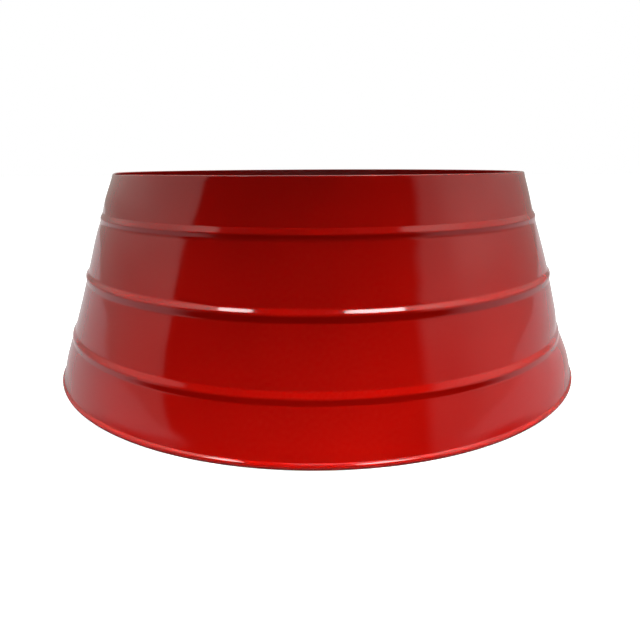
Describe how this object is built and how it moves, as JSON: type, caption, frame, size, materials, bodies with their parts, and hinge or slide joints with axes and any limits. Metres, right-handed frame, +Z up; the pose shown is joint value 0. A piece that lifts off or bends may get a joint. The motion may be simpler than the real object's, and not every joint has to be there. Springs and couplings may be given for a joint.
{
  "type": "christmas tree collar",
  "caption": "Truncated-cone sheet-steel ring with swaged beads, rolled base rim and folded top hem, hinged at one seam and hooked at the other, to hide the stand of a Christmas tree",
  "frame": {"origin": "on the floor plane at the centre of the open base", "axes": "+Z up the collar's axis, -Y out of the front half's middle, +X towards the hinge seam, -X towards the hooked seam"},
  "size_m": [0.5605, 0.56, 0.2032],
  "materials": {
    "red_paint": "gloss red enamel over steel sheet",
    "zinc_plate": "bright zinc plate",
    "bare_wire": "plain drawn wire"
  },
  "bodies": {
    "front_half": {"front_shell": "red_paint", "front_rim_wire": "bare_wire", "upper_hinge_front_leaf": "zinc_plate", "lower_hinge_front_leaf": "zinc_plate", "upper_hinge_front_rivet_1": "zinc_plate", "upper_hinge_front_rivet_2": "zinc_plate", "lower_hinge_front_rivet_1": "zinc_plate", "lower_hinge_front_rivet_2": "zinc_plate", "upper_hinge_pin": "zinc_plate", "lower_hinge_pin": "zinc_plate", "lap_strip": "red_paint", "lap_strip_rivet_1": "zinc_plate", "lap_strip_rivet_2": "zinc_plate", "lap_strip_rivet_3": "zinc_plate", "hook_pivot": "zinc_plate"},
    "back_half": {"back_shell": "red_paint", "back_rim_wire": "bare_wire", "upper_hinge_back_leaf": "zinc_plate", "lower_hinge_back_leaf": "zinc_plate", "upper_hinge_back_rivet_1": "zinc_plate", "upper_hinge_back_rivet_2": "zinc_plate", "lower_hinge_back_rivet_1": "zinc_plate", "lower_hinge_back_rivet_2": "zinc_plate", "catch_stud": "zinc_plate"},
    "hook": {"latch_hook": "zinc_plate"}
  },
  "joints": [
    {"name": "back_half_swing", "type": "hinge", "parent": "front_half", "child": "back_half", "pos_m": [0.2251, 0, 0.18256], "axis": [0.2997, 0, -0.954], "range_deg": [0, 110]},
    {"name": "hook_lift", "type": "hinge", "parent": "front_half", "child": "hook", "pos_m": [-0.23998, -0.013, 0.12601], "axis": [0.954, 0, -0.2997], "range_deg": [0, 100]}
  ]
}
